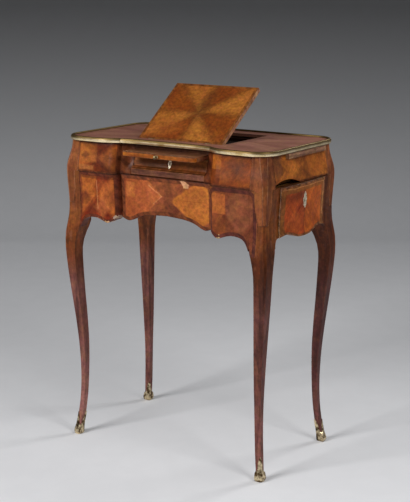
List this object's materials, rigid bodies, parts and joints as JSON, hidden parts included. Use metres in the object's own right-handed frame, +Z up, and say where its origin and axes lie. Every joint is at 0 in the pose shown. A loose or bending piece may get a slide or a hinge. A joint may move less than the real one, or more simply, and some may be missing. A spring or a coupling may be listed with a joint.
{
  "type": "bed table",
  "caption": "Small table with curved legs and a lift-off bed tray: hinged reading desk on a prop, writing slide, front drawer, candle slides and a side drawer.",
  "frame": {"origin": "on the floor, under the middle of the part's overall box as pictured", "axes": "+Z up, -Y towards the front with the front drawer and writing slide, +X towards the side drawer"},
  "size_m": [0.5479, 0.3337, 0.8276],
  "materials": {
    "veneer": "polished veneer",
    "dark_veneer": "polished veneer",
    "top_veneer": "satin veneer",
    "desk_veneer": "polished veneer",
    "oak": "plain, unpolished",
    "brass": "gilt, lightly worn",
    "iron": "dark, dull"
  },
  "bodies": {
    "stand": {"leg_front_left": "dark_veneer", "leg_front_right": "dark_veneer", "leg_back_left": "dark_veneer", "leg_back_right": "dark_veneer", "sabot_front_left": "brass", "sabot_front_right": "brass", "sabot_back_left": "brass", "sabot_back_right": "brass", "front_centre_panel": "veneer", "front_left_panel": "veneer", "front_right_panel": "veneer", "back_panel": "veneer", "left_side_panel": "veneer", "stand_top_board": "oak", "side_drawer_runners": "oak", "right_lower_rail": "oak"},
    "side_drawer": {"side_drawer_front": "veneer", "side_drawer_sides": "oak", "side_drawer_back": "oak", "side_drawer_bottom": "oak", "side_drawer_escutcheon": "brass", "side_drawer_lock": "iron"},
    "bed_tray": {"tray_top_board": "top_veneer", "rim_front": "brass", "rim_left": "brass", "rim_right": "brass", "tray_frieze_front_left": "veneer", "tray_frieze_front_right": "veneer", "tray_frieze_left": "veneer", "tray_frieze_right": "veneer", "tray_frieze_back": "veneer", "tray_leg_front_left": "veneer", "tray_leg_front_right": "veneer", "tray_leg_back_left": "veneer", "tray_leg_back_right": "veneer", "tray_bottom_board": "oak", "tray_divider_board": "oak", "writing_slide_guides": "oak", "front_drawer_guides": "oak", "well_floor": "dark_veneer", "well_rails": "dark_veneer", "candle_slide_guides": "oak", "desk_hinge_fixed_leaves": "brass", "desk_hinge_pins": "iron", "prop_brackets": "iron", "prop_pivot_pins": "iron"},
    "reading_desk": {"reading_desk_panel": "desk_veneer", "desk_racks": "dark_veneer", "desk_hinge_moving_leaves": "brass"},
    "desk_prop": {"desk_prop": "iron"},
    "writing_slide": {"writing_slide": "top_veneer", "writing_slide_knob": "brass"},
    "front_drawer": {"front_drawer_front": "veneer", "front_drawer_sides": "oak", "front_drawer_back": "oak", "front_drawer_bottom": "oak", "front_drawer_escutcheon": "brass", "front_drawer_lock": "iron"},
    "candle_slide_left": {"candle_slide_left": "veneer"},
    "candle_slide_right": {"candle_slide_right": "veneer"}
  },
  "joints": [
    {"name": "tray_lift", "type": "slide", "parent": "stand", "child": "bed_tray", "axis": [0, 0, 1], "range_m": [0, 0.2]},
    {"name": "desk_hinge", "type": "hinge", "parent": "bed_tray", "child": "reading_desk", "pos_m": [-0.00209, -0.07175, 0.7151], "axis": [1, 0, 0], "range_deg": [-36, 0]},
    {"name": "prop_hinge", "type": "hinge", "parent": "bed_tray", "child": "desk_prop", "pos_m": [-0.00209, -0.00975, 0.7013], "axis": [1, 0, 0], "range_deg": [-54.8, 0]},
    {"name": "writing_slide_slide", "type": "slide", "parent": "bed_tray", "child": "writing_slide", "axis": [0, -1, 0], "range_m": [-0.052, 0.1]},
    {"name": "front_drawer_slide", "type": "slide", "parent": "bed_tray", "child": "front_drawer", "axis": [0, -1, 0], "range_m": [0, 0.13]},
    {"name": "candle_slide_right_slide", "type": "slide", "parent": "bed_tray", "child": "candle_slide_right", "axis": [1, 0, 0], "range_m": [-0.006, 0.09]},
    {"name": "candle_slide_left_slide", "type": "slide", "parent": "bed_tray", "child": "candle_slide_left", "axis": [-1, 0, 0], "range_m": [-0.006, 0.09]},
    {"name": "side_drawer_slide", "type": "slide", "parent": "stand", "child": "side_drawer", "axis": [1, 0, 0], "range_m": [-0.0025, 0.19]}
  ],
  "couplings": [
    {"joint": "prop_hinge", "follows": "desk_hinge", "ratio": 1.5218}
  ]
}
